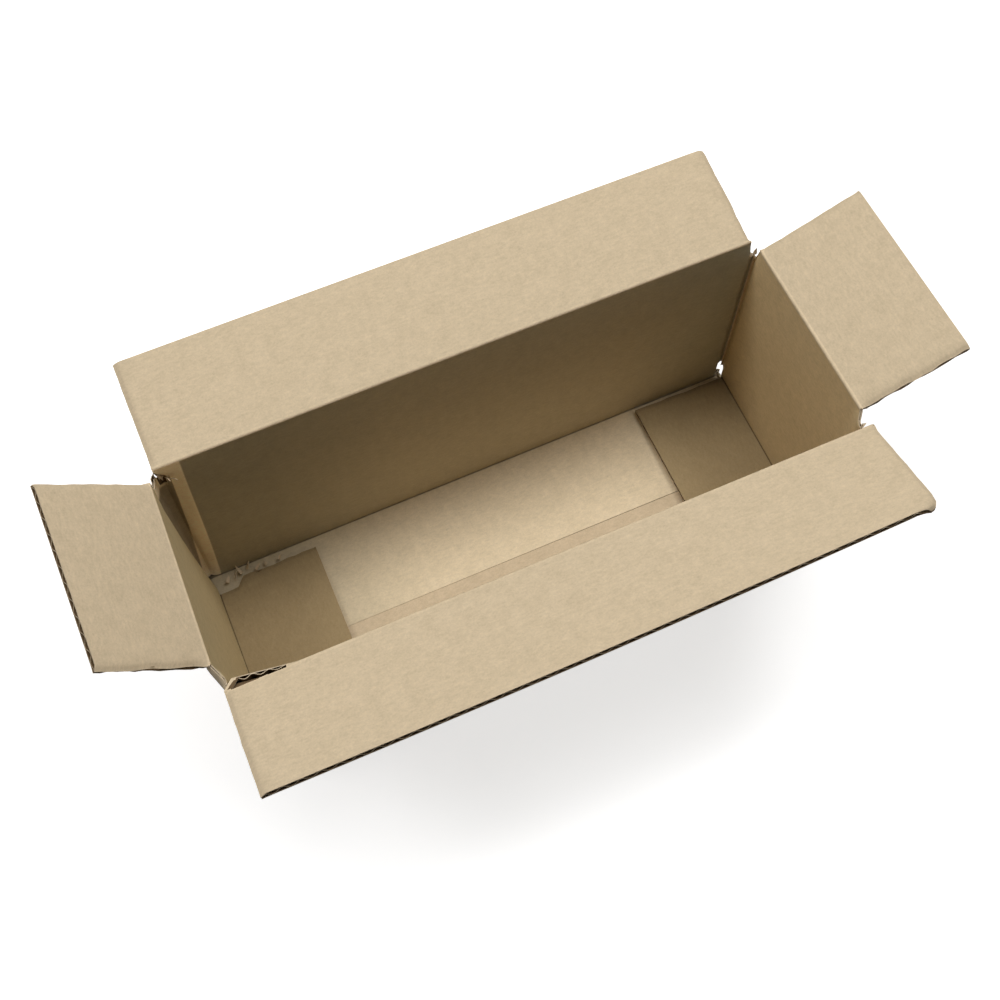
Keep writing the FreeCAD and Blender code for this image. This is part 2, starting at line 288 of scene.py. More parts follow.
# %% Shape of the path
NO_EDGE = 99.0
FOOT_PRESS = 0.2
GROOVE = 0.85
SCORE = 0.64
BOTTOM_PRESS_WIDTH = 0.6
GROOVE_WIDTH = 1.1
WALL_SCORE_WIDTH = 2.2
FLAP_SCORE_WIDTH = 1.6
BULGE_HEIGHT = 45.0


def path(side, segment, t, share):
    """A place on the path.

    Gives out, up, lean, the place on the flat sheet, the share of the thickness that is kept, and the
    distance to the top flap's free edge. The bottom flap, the foot and the wall's lower half give the
    outer face, and the rest the inner face.
    """
    outer = side["reach"] + BOARD
    base = side["base"]
    wall_foot = base + FOOT_RADIUS
    lean_top, crease_out, crease_up = crease_line(side, share)
    top = wall_top(side, share)
    if segment == "bottom":
        foot = outer - FOOT_RADIUS
        out = mix(mix(*side["free_edge"], share), foot, t)
        kept = pinch(FOOT_PRESS, foot - out, BOTTOM_PRESS_WIDTH)
        return out, base, math.pi / 2, out - outer, kept, NO_EDGE
    if segment == "foot":
        lean = math.pi / 2 * (1 - t)
        out = outer - FOOT_RADIUS + FOOT_RADIUS * math.cos(lean)
        height = wall_foot - FOOT_RADIUS * math.sin(lean)
        kept = 1.0 - mix(FOOT_PRESS, GROOVE, t)
        return out, height, lean, mix(-FOOT_RADIUS, FOOT_RADIUS, t), kept, NO_EDGE
    if segment == "wall":
        height = mix(wall_foot, top, t)
        if t < 0.5:
            kept = pinch(GROOVE, height - wall_foot, GROOVE_WIDTH)
            return outer, height, 0.0, height - base, kept, NO_EDGE
        bulge = within((height - top + BULGE_HEIGHT) / BULGE_HEIGHT) ** 2
        out = mix(side["reach"], crease_out, bulge)
        return out, height, 0.0, height - base, pinch(SCORE, top - height, WALL_SCORE_WIDTH), NO_EDGE
    flat_top = top - base
    if segment == "fold":
        lean = lean_top * t
        out = crease_out + FOLD_RADIUS * (1 - math.cos(lean))
        height = top + FOLD_RADIUS * math.sin(lean)
        return out, height, lean, flat_top + FOLD_RADIUS * lean, 1.0 - SCORE, NO_EDGE
    start = FOLD_RADIUS * math.tan(lean_top / 2)
    end = mix(*side["reach_at"], share) - mix(*side["crease_at"], share)
    distance = mix(start, end, t)
    out = crease_out + distance * math.sin(lean_top)
    height = crease_up + distance * math.cos(lean_top)
    flat_v = flat_top + FOLD_RADIUS * lean_top + distance - start
    return out, height, lean_top, flat_v, pinch(SCORE, distance - start, FLAP_SCORE_WIDTH), end - distance


# %% [markdown]
# The columns of the grid run along the crease. Its middle columns make the flaps, and the columns
# beyond them make only the wall: a short stretch under each slot, and half of the rounded corner.
# The back strip goes on round its left corner as the glue tab, pressed flat outside the left wall.

# %% Columns of the strip
CORNER_STEPS = 6
TAB_STEPS = 8
GAP_SHARES = (0.0, 0.3, 0.6)
FLARE_COLUMNS = range(4, 18)


def columns_for(name, step, near_end):
    """Each column's zone and its share of that zone, from the strip's low end to its high end."""
    length = 2 * SIDES[name]["half"]
    main = spaced(length, step, near_end, near_end)
    if name == "back":
        main = sorted({*main, *[distance / length for distance in FLARE_COLUMNS]})
    corner = [place / CORNER_STEPS for place in range(1, CORNER_STEPS + 1)]
    low = [("low_corner", share) for share in reversed(corner)] + [("low_gap", share) for share in GAP_SHARES]
    high = [("high_gap", share) for share in reversed(GAP_SHARES)]
    if name == "back":
        low = [("tab", share / TAB_STEPS) for share in range(TAB_STEPS, 0, -1)] + low
    if name != "left":
        high += [("high_corner", share) for share in corner]
    return low + [("main", share) for share in main] + high


print("columns of the back", len(columns_for("back", 4.0, NEAR_EDGE)))

# %% [markdown]
# At the glued corner the left wall is cut short, and the back wall runs past it and bends a little
# outwards, because the tab pulls it. Both change with the height, so both are small functions of it.

# %% The glued corner
CUT_EDGE = (44.8, 51.2)
CUT_OPENS_AT = 112.0
CUT_OPENS_OVER = 19.0
FLARE_START = -148.1
FLARE_TILT = 0.069
FLARE_SLOPE = 0.17
FLARE_TOP = 136.0
FLARE_FADE = 14.0


def cut_edge(height):
    """Where the left wall was cut short at the glued corner: a cut that opens out only near the crease."""
    return mix(*CUT_EDGE, smooth((height - CUT_OPENS_AT) / CUT_OPENS_OVER))


def flare(u, height):
    """How far the back wall bends outwards at its left end, where the glue tab pulls it."""
    start = FLARE_START + FLARE_TILT * height
    return max(start - u, 0.0) * FLARE_SLOPE * within((FLARE_TOP - height) / FLARE_FADE)


print("cut edge of the left wall", cut_edge(0.0), "to", cut_edge(SHORT_CREASE))

# %% [markdown]
# Cut board is never straight: the knife crushes it and paper fibres pull out. A smooth noise that
# depends only on the place along the cut moves each end of a flap a little. One bottom flap's corner
# was torn away when the box was folded up, and one tongue of paper stayed at the tear.

# %% Ragged cuts
ROUGH_ENDS = {"back": (0.3, 0.35), "front": (0.3, 0.25), "left": (0.8, 0.4), "right": (0.7, 0.35)}
COARSE_ROUGH = 7.0
FINE_ROUGH = 2.4
TEAR_START = -21.0
TEAR_RAMP = 5.0
TEAR_DEPTH = 4.6
TEAR_ROUGH = 0.7
TONGUE_AT = -18.5
TONGUE_WIDTH = 2.2
TONGUE_LENGTH = 5.5


def ragged(name, end, v, layer):
    """A cut's departure from straight, in millimetres, at a place along it."""
    seed = 11.3 * list(SIDES).index(name) + 5.7 * end + 0.9 * layer
    coarse = noise.noise((v / COARSE_ROUGH, seed, 0.0))
    fine = noise.noise((v / FINE_ROUGH, seed, 4.0))
    return ROUGH_ENDS[name][end] * (coarse + 0.6 * fine)


def torn_depth(v):
    """How far the left bottom flap's back edge is torn away near its wall."""
    depth = TEAR_DEPTH * smooth((v - TEAR_START) / TEAR_RAMP)
    tongue = TONGUE_LENGTH * math.exp(-((v - TONGUE_AT) / TONGUE_WIDTH) ** 2)
    return depth - tongue + TEAR_ROUGH * noise.noise((v / 2.6, 3.0, 9.0))


print("torn away by the wall", round(torn_depth(0.0), 2))

# %% [markdown]
# The ends of the middle columns differ from row to row: a bottom flap is a little longer than its
# top flap, the wall between them stays clear of the rounded corners, and a flap tapers. So each row
# asks for its own two ends.

# %% Ends of a row
CORNER_ROUND = 4.5
CORNER_GAP = 1.6
CUT_EDGE_GAP = 1.0
TAPER_POWER = 1.5


def ends_at(name, segment, t, v, height, layer, to_edge):
    """The low and high ends of the middle columns at one row."""
    side = SIDES[name]
    flap = (-side["half"] + side["slots"][0], side["half"] - side["slots"][1])
    wall = (max(flap[0], CORNER_GAP - side["half"]), min(flap[1], side["half"] - CORNER_GAP))
    low, high = flap
    if segment == "bottom":
        low, high = side["bottom"]
    elif segment == "wall":
        low, high = wall
    elif segment == "foot":
        low, high = (mix(side["bottom"][end], wall[end], t) for end in (0, 1))
    elif segment == "fold":
        low, high = (mix(wall[end], flap[end], t) for end in (0, 1))
    if segment in ("bottom", "flap"):
        low += ragged(name, 0, v, layer)
        high += ragged(name, 1, v, layer)
    if segment == "flap":
        low += side["tapers"][0] * t ** TAPER_POWER
        high -= side["tapers"][1] * t
    if name == "front" and to_edge < CORNER_ROUND:
        high -= CORNER_ROUND * (1.0 - math.sqrt(1.0 - within(1.0 - to_edge / CORNER_ROUND) ** 2))
    if name == "left" and segment == "bottom":
        high -= torn_depth(v)
    if name == "left" and segment in ("wall", "foot"):
        high = min(high, cut_edge(height) - CUT_EDGE_GAP)
    return low, high


# %% [markdown]
# At a cut the board is thinner, because the knife has pressed it. Down each corner of the box the
# inner face draws back into a narrow groove, with a small bead of board in the corner's middle. The
# slots end a little below the crease, so each corner stands as a low post with a ragged top.

# %% Pressed board
CORNER_PRESS = 0.42
CORNER_PRESS_WIDTH = 1.6
BEAD = 0.3
BEAD_START = 0.55
KNIFE_PRESS = 0.55
KNIFE_WIDTH = 1.5
POST_DROPS = {("back", 0): 8.0, ("back", 1): 6.5, ("front", 0): 0.6, ("front", 1): 2.2,
              ("left", 0): 1.2, ("left", 1): 1.0, ("right", 0): 1.4, ("right", 1): 4.6}
LEAST_DROP = 3.0
POST_ROUGH = 0.9


def cut_press(zone, segment, portion, u, low, high, half):
    """The share of the board's thickness that is kept near a corner or a cut."""
    kept = 1.0
    if segment in ("wall", "foot"):
        kept = pinch(CORNER_PRESS, 0.0 if "corner" in zone else half - abs(u), CORNER_PRESS_WIDTH)
    if "corner" in zone:
        kept += BEAD * within((portion - BEAD_START) / (1.0 - BEAD_START)) ** 2
    if zone == "main" and segment in ("flap", "bottom"):
        kept = pinch(KNIFE_PRESS, min(u - low, high - u), KNIFE_WIDTH)
    return kept


def post_drop(name, end):
    """How far below the crease the gap between a wall and its corner begins."""
    return max(POST_DROPS[name, end], LEAST_DROP)


def post_height(name, zone, portion, height, share, layer):
    """A row's height beside a slot, which is cut a little into the wall."""
    side = SIDES[name]
    end = 0 if zone in ("low_gap", "low_corner", "tab") else 1
    drop = POST_DROPS[name, end] + POST_ROUGH * noise.noise((portion * 4, side["half"], 2.0 + layer))
    base = side["base"]
    return base + (height - base) * (side["crease"] - drop - base) / (wall_top(side, share) - base)


# %% [markdown]
# A corner of the box is a tight bend of the same board. Two strips meet there, and each makes one
# half of the bend, so that no seam shows. The glued corner is different: the back strip makes all of
# it and goes on as the tab, whose board is pressed flat by the glue press.

# %% Corners and the glue tab
INNER_RADIUS = 0.4
TAB_RADIUS = 1.5
TAB_PRESS = 0.42
TAB_CUT = 6.0
TAB_SLOPE = 4.0


def corner_place(name, zone, portion, u, height, depth, behind):
    """Along and out of a point in a rounded corner."""
    side = SIDES[name]
    if name == "back" and zone == "low_corner":
        u = -side["half"] - BOARD + TAB_RADIUS
        radius = TAB_RADIUS + (BOARD - depth) * mix(1.0, TAB_PRESS, portion)
        angle = portion * math.pi / 2
        out = side["reach"] + flare(u, height) - TAB_RADIUS + radius * math.cos(angle)
        return u - radius * math.sin(angle), out
    radius = INNER_RADIUS + behind
    angle = portion * math.pi / 4
    turn = 1 if zone == "high_corner" else -1
    return u + radius * math.sin(angle) * turn, side["reach"] - INNER_RADIUS + radius * math.cos(angle)


def tab_place(portion, t, height, depth):
    """Along, out and up of a point of the glue tab, and its distance from the tab's bend."""
    side = SIDES["back"]
    from_bend = portion * (TAB_WIDTH - 2 * TAB_RADIUS)
    along = -side["half"] - BOARD - (BOARD - depth) * TAB_PRESS
    out = side["reach"] + flare(-side["half"], height) - TAB_RADIUS - from_bend
    low_cut = TAB_CUT * (1.0 + portion)
    high_cut = LONG_CREASE - POST_DROPS["back", 0] - TAB_SLOPE * portion
    return along, out, mix(low_cut, high_cut, t), from_bend


# %% [markdown]
# ## Bends from handling
# Handling bends the board further: the tube leans, its corners and its flaps by different amounts.
# These moves depend on the place on the flat sheet, so the liners and the wave between them move
# together. Only where one crease is split do the inner liner and the wave stay with the wall while
# the outer liner goes out with the flap.

# %% Follow the corner or the flap
SPLIT = (-146.8, -123.9)
SPLIT_ROOT = -118.0
SPLIT_SPREAD = 32.0
SPLIT_RISE = 2.0
CORNER_SPREAD = 14.0


def nearness(name, kind, zone, portion, segment, u, height):
    """How much a place follows its corner of the tube, from 0 to 1, and not its flap."""
    side = SIDES[name]
    if segment in ("fold", "flap"):
        return 0.0
    if "corner" in zone or zone == "tab":
        return 1.0
    drop = post_drop(name, int(u > 0))
    rise = smooth((height - side["crease"] + drop) / drop)
    near = 1.0 - smooth((side["half"] - abs(u)) / CORNER_SPREAD)
    if name == "front" and u < SPLIT_ROOT:
        near = within((SPLIT_ROOT - u) / SPLIT_SPREAD)
        rise = smooth((height - wall_top(side, 0.0) + SPLIT_RISE) / SPLIT_RISE) * float(kind == "outer")
    at_cut_edge = name == "left" and u > 0
    if at_cut_edge:
        near = 0.0
    near *= 1.0 - rise
    if zone in ("low_gap", "high_gap") and not at_cut_edge:
        near = mix(1.0, near, portion)
    return near


def mixed(pair, share):
    """A sideways move between the two that are given for a strip's ends."""
    return Vector((mix(pair[0][0], pair[1][0], share), mix(pair[0][1], pair[1][1], share), 0))


# %% [markdown]
# A long flap that is handled often gets a soft corner, a curled end and an edge that isn't straight.
# Each is a small move of the flat board, strongest at the flap's end or edge and gone a few
# millimetres away from it. The left wall bows, and the short bottom flaps spring up a little.

# %% Bent flaps and walls
SOFT_CORNER = 8.0
SOFT_CORNER_BEND = 0.08
FRONT_CURL_WIDTH = 6.0
FRONT_CURL = 0.3
FRONT_EDGE_BOW = 1.4
BACK_CURL_WIDTH = 6.5
BACK_CURL = (0.3, 0.5)
BACK_CURL_WAVE = 8.0
LEFT_BOW = 1.2
BOTTOM_SPRING = 55.0


def flap_bend(name, u, v, high, lean, to_edge, across):
    """How far handling has moved a point of a long top flap."""
    out = SIDES[name]["out"]
    inward = out * -math.cos(lean) + Vector((0, 0, math.sin(lean)))
    to_end = high - u
    if name == "front":
        corner = max(SOFT_CORNER - to_end - to_edge, 0.0) ** 1.5 * SOFT_CORNER_BEND
        curl = max(1.0 - to_end / FRONT_CURL_WIDTH, 0.0) ** 2 * FRONT_CURL
        bow = FRONT_EDGE_BOW * math.sin(math.pi * across) * (1 - within(to_edge / FLAP_REACH))
        return (Vector((0, 0, math.cos(lean))) + out * math.sin(lean)) * bow - inward * (corner + curl)
    edge = max(1.0 - to_end / BACK_CURL_WIDTH, 0.0)
    wave = 0.5 + 0.5 * math.sin((v - LONG_CREASE) / BACK_CURL_WAVE + 0.4)
    return inward * (-edge ** 2 * (BACK_CURL[0] + BACK_CURL[1] * wave))


def deformed(name, segment, u, v, point, near, high, lean, to_edge):
    """The point after the tube's lean and the bends of its flaps and walls."""
    side = SIDES[name]
    across = within((u + side["half"]) / (2 * side["half"]))
    rising = within(point.z / LONG_CREASE)
    top_move = mixed(side["flap_shift"], across).lerp(mixed(side["corner_shift"], float(u > 0)), near)
    foot_move = mixed(side["foot_shift"], across)
    if segment == "bottom" and side["reach"] == HALF_WIDTH:
        foot_move.y *= 1.0 - within(-v / HALF_WIDTH)
    point = point + foot_move.lerp(top_move, rising)
    if name == "left" and segment == "wall":
        point.x -= LEFT_BOW * math.sin(math.pi * rising) * smooth((u + 5.0) / 50.0)
    if segment == "bottom":
        rise = max((-v - FOOT_RADIUS) / BOTTOM_SPRING, 0.0)
        point.z += mix(*side["raised"], across) * rise ** 1.3
    if segment == "flap" and name in ("front", "back"):
        point += flap_bend(name, u, v, high, lean, to_edge, across)
    return point


# %% [markdown]
# Now one point of a sheet can be placed. The row gives its place on the path, the column its place
# along the crease, and the depth says how far into the board it lies. Its place on the flat sheet is
# handed back with it, because the paper's pattern must follow the board round its folds.

# %% Place a point of the sheet
SPLIT_KEPT = 0.78
TAB_SPREAD = 8.0


def place(name, kind, column, row, depth, layer):
    """The folded place of one point of a sheet, in millimetres, and its flat coordinates."""
    side = SIDES[name]
    half = side["half"]
    zone, portion = column
    segment, t = row
    share = portion if zone == "main" else float(zone in ("high_gap", "high_corner"))
    out, height, lean, v, kept, to_edge = path(side, segment, t, share)
    low, high = ends_at(name, segment, t, v, height, layer, to_edge)
    if zone != "main":
        height = post_height(name, zone, portion, height, share, layer)
    starts = {"low_gap": (-half + INNER_RADIUS, low), "main": (low, high),
              "high_gap": (cut_edge(height) if name == "left" else half - INNER_RADIUS, high)}
    if zone in starts:
        u = mix(*starts[zone], portion)
    else:
        u = (half - INNER_RADIUS) * (1 if "high" in zone else -1)
    near = nearness(name, kind, zone, portion, segment, u, height)
    upper_wall = segment == "wall" and t >= 0.5
    if name == "front" and upper_wall and u < SPLIT_ROOT:
        kept = mix(kept, SPLIT_KEPT, near)
    pressed = cut_press(zone, segment, portion, u, low, high, half)
    if upper_wall or segment in ("fold", "flap"):
        behind = kept * (BOARD - depth * pressed)
        inward = -behind
        out = mix(out, side["reach"], near)
    else:
        behind = BOARD - depth * kept * pressed
        inward = BOARD - behind
    point_out = out - math.cos(lean) * inward
    point_up = height + math.sin(lean) * inward
    if name == "back" and segment in ("wall", "foot", "fold"):
        point_out += flare(u, height)
    if "corner" in zone:
        u, point_out = corner_place(name, zone, portion, u, height, depth, behind)
    flat_u = u
    if zone == "tab":
        u, point_out, point_up, from_bend = tab_place(portion, t, height, depth)
        flat_u = u - from_bend
        near = 1.0 - smooth(from_bend / TAB_SPREAD)
    point = side["along"] * u + side["out"] * point_out + Vector((0, 0, point_up))
    return deformed(name, segment, u, v, point, near, high, lean, to_edge), (flat_u, v)


# %% [markdown]
# ## Sheets
# Some faces of the grid aren't board: the slots above the corners, the split in the front crease,
# where the inner papers have parted, and the ragged hole at the back right foot. They are found by
# their place on the flat sheet and deleted.

# %% Slots, split and hole
SPLIT_DEPTH = 1.6
SPLIT_ROUGH = 0.8
CORNER_HOLE = (4.5, 16.0)
HOLE_STARTS = {"back": 150.0, "right": 51.0}
HOLE_ROUGH = 1.5


def keeps(name, kind, zones, segments, spots):
    """True where a face of the grid is board, and not a slot, a split or a hole."""
    if any(zone != "main" for zone in zones) and set(segments) != {"wall"}:
        return False
    side = SIDES[name]
    u = sum(spot.x for spot in spots) / len(spots)
    v = sum(spot.y for spot in spots) / len(spots)
    in_gap = name in ("back", "front") and any("gap" in zone for zone in zones)
    if in_gap and v > wall_top(side, float(u > 0)) - side["base"] - post_drop(name, int(u > 0)):
        return False
    if name == "front" and kind != "outer" and SPLIT[0] < u < SPLIT[1]:
        fold_start = wall_top(side, 0.0)
        split_end = SPLIT_DEPTH + SPLIT_ROUGH * noise.noise((u / 3.0, 0.0, 0.0))
        if fold_start < v < fold_start + split_end:
            return False
    if u > HOLE_STARTS.get(name, math.inf):
        hole_top = CORNER_HOLE[1] + HOLE_ROUGH * noise.noise((u, v / 3.0, 5.0))
        return not CORNER_HOLE[0] < v + side["base"] < hole_top
    return True


# %% [markdown]
# A grid operator makes the flat sheet, its points are laid on the folds, and the solidify operator
# gives the paper its thickness. Where a fold is tight, solidify can throw a point far out, so a
# point is never let go further than twice the paper's thickness. The flat coordinates are kept on
# the points until the end, and then become the map that the paper's pattern follows.

# %% Make one sheet
LINER_SLOT, WAVE_SLOT, CUT_SLOT, OUTSIDE_SLOT = range(4)
SEEN_SLOTS = {"inner": LINER_SLOT, "wave": WAVE_SLOT, "outer": OUTSIDE_SLOT}
SPIKE_LIMIT = 2


def lay_points(bm, name, kind, columns, rows, depth, layer):
    """Lay a flat grid on the folds. Gives each point's zone and segment."""
    flat = bm.verts.layers.float_vector["flat"]
    address = {}
    points = sorted(bm.verts, key=lambda point: (round(point.co.y, 4), round(point.co.x, 4)))
    for index, point in enumerate(points):
        row, column = divmod(index, len(columns))
        where = (name, kind, columns[column], rows[row])
        value = depth(place(*where, 0.0, layer)[1][0]) if callable(depth) else depth
        point.co, (u, v) = place(*where, value, layer)
        point[flat] = (u, v, 0.0)
        address[point] = (columns[column][0], rows[row][0])
    return address


def thicken(bm, flat, thickness):
    """Give a sheet its thickness. Gives the points that it had before."""
    before = set(bm.verts)
    home = {point[flat].to_tuple(3): point.co.copy() for point in before}
    bmesh.ops.solidify(bm, geom=bm.faces[:], thickness=thickness)
    for point in bm.verts:
        start = home[point[flat].to_tuple(3)]
        away = point.co - start
        if point not in before and away.length > SPIKE_LIMIT * thickness:
            point.co = start + away.normalized() * SPIKE_LIMIT * thickness
    return before


def make_sheet(name, kind, columns, rows, depth, thickness, layer):
    """One folded sheet as a mesh in millimetres. depth is a number, or a rule of the place along the crease."""
    bm = bmesh.new()
    flat = bm.verts.layers.float_vector.new("flat")
    sheet_map = bm.loops.layers.uv.new("sheet")
    bmesh.ops.create_grid(bm, x_segments=len(columns) - 1, y_segments=len(rows) - 1, size=1)
    address = lay_points(bm, name, kind, columns, rows, depth, layer)
    gone = []
    for face in bm.faces:
        zones, segments = zip(*[address[point] for point in face.verts])
        if not keeps(name, kind, zones, segments, [point[flat] for point in face.verts]):
            gone.append(face)
    bmesh.ops.delete(bm, geom=gone, context="FACES")
    bm.normal_update()
    if SIDES[name]["along"].cross(Vector((0, 0, 1))).dot(SIDES[name]["out"]) > 0:
        bmesh.ops.reverse_faces(bm, faces=bm.faces[:])
    before = thicken(bm, flat, thickness)
    for face in bm.faces:
        face.smooth = True
        shown = {point in before for point in face.verts}
        seen = shown == {kind == "inner"}
        face.material_index = CUT_SLOT if len(shown) == 2 else (SEEN_SLOTS[kind] if seen else WAVE_SLOT)
        for loop in face.loops:
            loop[sheet_map].uv = loop.vert[flat].xy * MM
    bm.verts.layers.float_vector.remove(flat)
    return bm


# %% [markdown]
# A strip is three sheets in one mesh: the inner liner, the outer liner, and the wave between them,
# whose depth swings like a sine along the crease. One mesh per side keeps the papers together.

# %% Make one strip
LINER_STEP = 4.0
LINER_NEAR_END = (0.0, 0.6, 1.5, 3.0)
WAVE_STEP = PITCH / 10
WAVE_NEAR_END = (0.0, 0.4, 0.8, 1.2)
SHARP_ANGLE = math.radians(40)


def pour(source, target):
    """Move one bmesh's shape into another."""
    part = bpy.data.meshes.new("part")
    source.to_mesh(part)
    source.free()
    target.from_mesh(part)
    bpy.data.meshes.remove(part)


def finished_piece(bm, name):
    """An object in metres from a bmesh in millimetres."""
    bmesh.ops.scale(bm, vec=(MM, MM, MM), verts=bm.verts)
    mesh = bpy.data.meshes.new(name)
    bm.to_mesh(mesh)
    bm.free()
    print(name, len(mesh.polygons), "faces")
    return add_object(name, mesh)


def wave_depth(u):
    """How deep in the board the wave lies at a place along the crease."""
    middle = BOARD / 2
    swing = middle - LINER - MEDIUM / 2
    return middle + MEDIUM / 2 + swing * math.cos(2 * math.pi * u / PITCH)


def make_strip(name):
    """One side of the box: two liners and the wave between them, as one mesh in metres."""
    liner_columns = columns_for(name, LINER_STEP, LINER_NEAR_END)
    wave_columns = columns_for(name, WAVE_STEP, WAVE_NEAR_END)
    sheets = [
        ("inner", liner_columns, LINER_ROWS, BOARD, LINER),
        ("outer", liner_columns, LINER_ROWS, LINER, LINER),
        ("wave", wave_columns, WAVE_ROWS, wave_depth, MEDIUM),
    ]
    whole = bmesh.new()
    for layer, sheet in enumerate(sheets, 1):
        pour(make_sheet(name, *sheet, layer), whole)
    strip = finished_piece(whole, f"{name}_board")
    strip.data.set_sharp_from_angle(angle=SHARP_ANGLE)
    return strip


# %% [markdown]
# ## Materials
# Every finish here is made of shader nodes, and most nodes are added and joined in the same way. A
# small class with a short call for each kind keeps the finishes readable. Colours are given as a
# screen shows them and turned into the shader's own numbers.

# %% Node helpers
def linear(*rgb):
    """A colour of 0 to 255 as drawn on a screen, as the shader's own numbers."""
    scaled = [value / 255 for value in rgb]
    return (*[value / 12.92 if value <= 0.04045 else ((value + 0.055) / 1.055) ** 2.4 for value in scaled], 1)


class Tree:
    """A node tree with short calls for adding and joining nodes."""

    def __init__(self, tree):
        self.tree = tree

    def add(self, kind, **values):
        """A new node. A value goes to the input of its name, or else to the node's own setting."""
        node = self.tree.nodes.new(kind)
        for key, value in values.items():
            if key in node.inputs.keys():
                self.feed(node.inputs[key], value)
            else:
                setattr(node, key, value)
        return node

    def feed(self, socket, value):
        """Join another node's output to an input, or set the input to a plain value."""
        if isinstance(value, bpy.types.NodeSocket):
            self.tree.links.new(value, socket)
        else:
            socket.default_value = value

    def math(self, operation, *values):
        node = self.add("ShaderNodeMath", operation=operation)
        for socket, value in zip(node.inputs, values):
            self.feed(socket, value)
        return node.outputs[0]

    def noise(self, vector, scale, detail, roughness=0.5):
        node = self.add("ShaderNodeTexNoise", Vector=vector, Scale=scale, Detail=detail, Roughness=roughness)
        return node.outputs["Fac"]

    def stretch(self, vector, amounts):
        node = self.add("ShaderNodeVectorMath", operation="MULTIPLY")
        self.feed(node.inputs[0], vector)
        node.inputs[1].default_value = amounts
        return node.outputs[0]

    def blend(self, share, first, second, kind="MIX"):
        node = self.add("ShaderNodeMix", data_type="RGBA", blend_type=kind)
        for index, value in ((0, share), (6, first), (7, second)):
            self.feed(node.inputs[index], value)
        return node.outputs[2]


def new_finish(name):
    """A new material, its node tree with short calls, and its shader's inputs."""
    material = bpy.data.materials.new(name)
    material.use_nodes = True
    return material, Tree(material.node_tree), material.node_tree.nodes["Principled BSDF"].inputs


# %% [markdown]
# Kraft liner is brown paper: faintly mottled, with fibres that lie along the box and a slight
# washboard where the wave's crests hold it. A node group makes these once, from noises of different
# sizes and one sine, and each paper material uses the group with its own values.

# %% Paper fibre group
TO_MM = (1000, 1000, 1000)
CLOUD = (0.12, 6.0, 0.7)
GRAIN = (1.1, 3.0, 0.7)
STRANDS = (1.0, 3.0, 0.65)
STRAND_STRETCH = (0.3, 0.6, 1.0)
FLECKS = (1.0, 1.0, 0.4)
FLECK_STRETCH = (0.5, 1.1, 1.0)
FLECK_LIMIT = 0.735
FLECK_DARKNESS = -0.07
RIDGE_HEIGHT = 0.035
PAPER_HEIGHT = 0.05
PAPER_INPUTS = ("Mottle", "Fibre", "Washboard")


def paper_group():
    group = bpy.data.node_groups.new("paper_fibre", "ShaderNodeTree")
    face = group.interface
    face.new_socket("Sheet", in_out="INPUT", socket_type="NodeSocketVector")
    for name in PAPER_INPUTS:
        face.new_socket(name, in_out="INPUT", socket_type="NodeSocketFloat")
    for name in ("Shade", "Cloud", "Height"):
        face.new_socket(name, in_out="OUTPUT", socket_type="NodeSocketFloat")
    tree = Tree(group)
    source = group.nodes.new("NodeGroupInput").outputs
    result = group.nodes.new("NodeGroupOutput").inputs
    sheet = tree.stretch(source["Sheet"], TO_MM)
    cloud = tree.noise(sheet, *CLOUD)
    grain = tree.noise(sheet, *GRAIN)
    strands = tree.noise(tree.stretch(sheet, STRAND_STRETCH), *STRANDS)
    flecks = tree.math("GREATER_THAN", tree.noise(tree.stretch(sheet, FLECK_STRETCH), *FLECKS), FLECK_LIMIT)
    along = tree.add("ShaderNodeSeparateXYZ", Vector=sheet).outputs[0]
    ridge = tree.math("SINE", tree.math("MULTIPLY", along, 2 * math.pi / PITCH))
    fibre = tree.math("ADD", tree.math("SUBTRACT", strands, 0.5), tree.math("SUBTRACT", grain, 0.5))
    shade = tree.math("MULTIPLY_ADD", tree.math("SUBTRACT", cloud, 0.5), source["Mottle"], 1.0)
    for value, amount in ((fibre, source["Fibre"]), (ridge, source["Washboard"]), (flecks, FLECK_DARKNESS)):
        shade = tree.math("MULTIPLY_ADD", value, amount, shade)
    height = tree.math("MULTIPLY_ADD", ridge, RIDGE_HEIGHT, tree.math("MULTIPLY", grain, PAPER_HEIGHT))
    height = tree.math("MULTIPLY_ADD", strands, PAPER_HEIGHT, height)
    for name, value in (("Shade", shade), ("Cloud", cloud), ("Height", height)):
        tree.feed(result[name], value)
    return group


PAPER = paper_group()
print("group", PAPER.name, len(PAPER.nodes), "nodes")

# %% [markdown]
# A paper material mixes a dark and a light tone by the group's cloud and shades them by its fibres.
# Each liner also has bands: darker short bottom flaps, painted light and shade on the floor and the
# walls, a painted shade line at the foot, and a pale crease of rubbed paper with a painted highlight.
# A band is a tone and a few half sheets, each a line on the flat sheet with a soft edge, and it shows
# only where all of them overlap.

# %% Paper materials
PAPER_ROUGHNESS = 0.86
PAPER_SHEEN = 0.25
PAPER_BUMP = 0.6
LINER_VALUES = (0.14, 0.34, 0.004)


